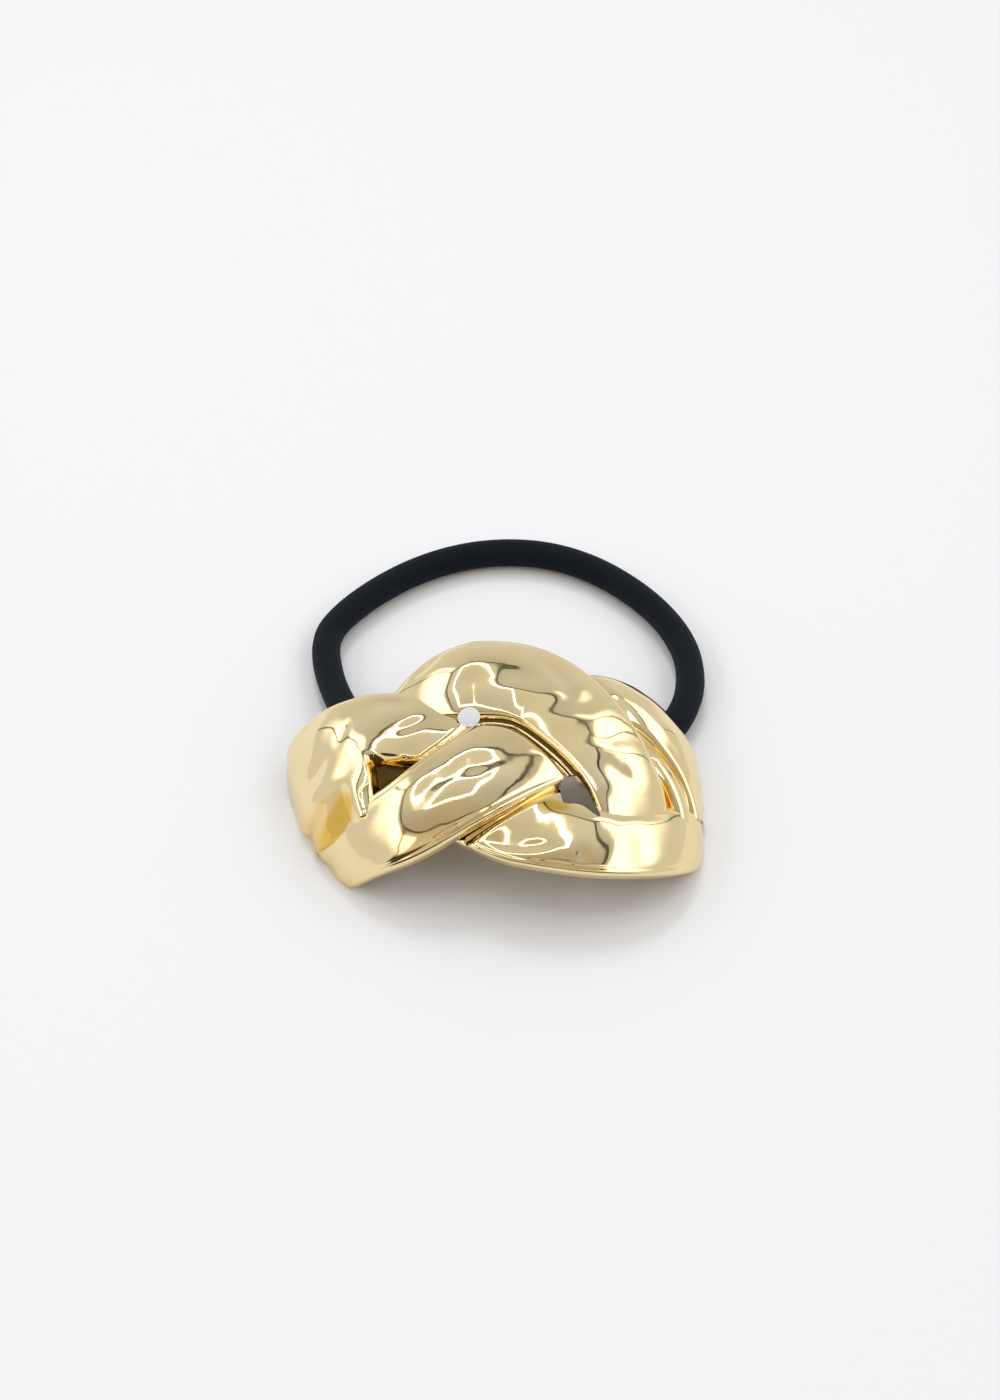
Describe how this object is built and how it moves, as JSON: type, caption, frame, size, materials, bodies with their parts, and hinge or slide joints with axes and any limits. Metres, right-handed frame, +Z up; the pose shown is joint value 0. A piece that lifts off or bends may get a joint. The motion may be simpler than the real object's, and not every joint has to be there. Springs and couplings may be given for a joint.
{
  "type": "hair tie",
  "caption": "Arched metal plate of flat plaited strands, held on a round elastic loop that goes round a ponytail.",
  "frame": {"origin": "on the surface that the hair tie lies on, under the middle of the plate's outline", "axes": "+X along the arch to the right end, +Y from the plate's front to the elastic loop behind it, +Z up through the plate's crest"},
  "size_m": [0.0598, 0.0736, 0.018],
  "materials": {
    "plate": "polished pale gold plating on a cast plate",
    "elastic": "matt black knitted elastic cord"
  },
  "bodies": {
    "root": {"plaited_plate": "plate", "elastic_loop": "elastic"}
  },
  "joints": []
}
